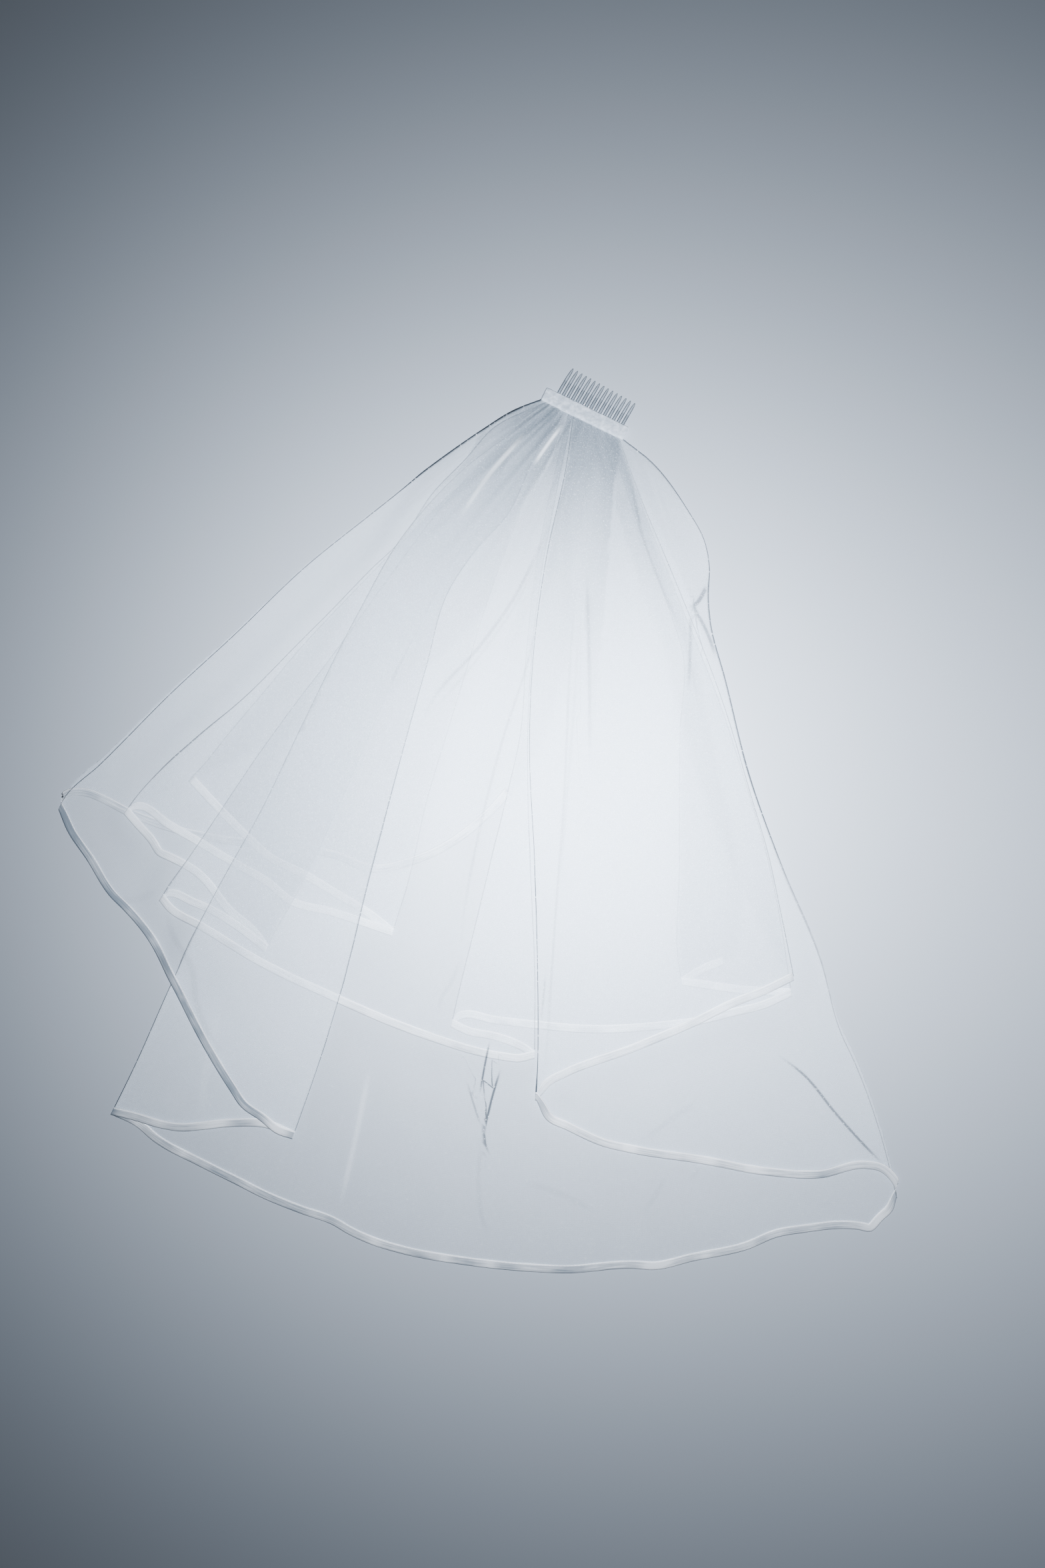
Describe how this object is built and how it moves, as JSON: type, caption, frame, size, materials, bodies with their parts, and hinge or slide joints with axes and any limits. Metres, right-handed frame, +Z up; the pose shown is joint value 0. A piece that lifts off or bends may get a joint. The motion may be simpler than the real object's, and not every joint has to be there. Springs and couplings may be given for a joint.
{
  "type": "bridal veil",
  "caption": "Two-tier bridal veil lying flat: elliptical tulle tiers bound with satin ribbon, folded over on themselves and gathered into a fabric casing with a clear hair comb.",
  "frame": {"origin": "centre of the bounding box's bottom, on the surface that the veil lies on", "axes": "+Y from the hem towards the comb, +X to the right as seen from above, +Z up from the surface"},
  "size_m": [0.7828, 0.841, 0.0158],
  "materials": {
    "tulle": "sheer white nylon net",
    "satin_ribbon": "white satin",
    "felted_casing": "soft white pile",
    "clear_plastic": "clear, glossy"
  },
  "bodies": {
    "root": {"tulle_long": "tulle", "tulle_short": "tulle", "ribbon_long": "satin_ribbon", "ribbon_short": "satin_ribbon", "comb_casing": "felted_casing", "comb": "clear_plastic"}
  },
  "joints": []
}
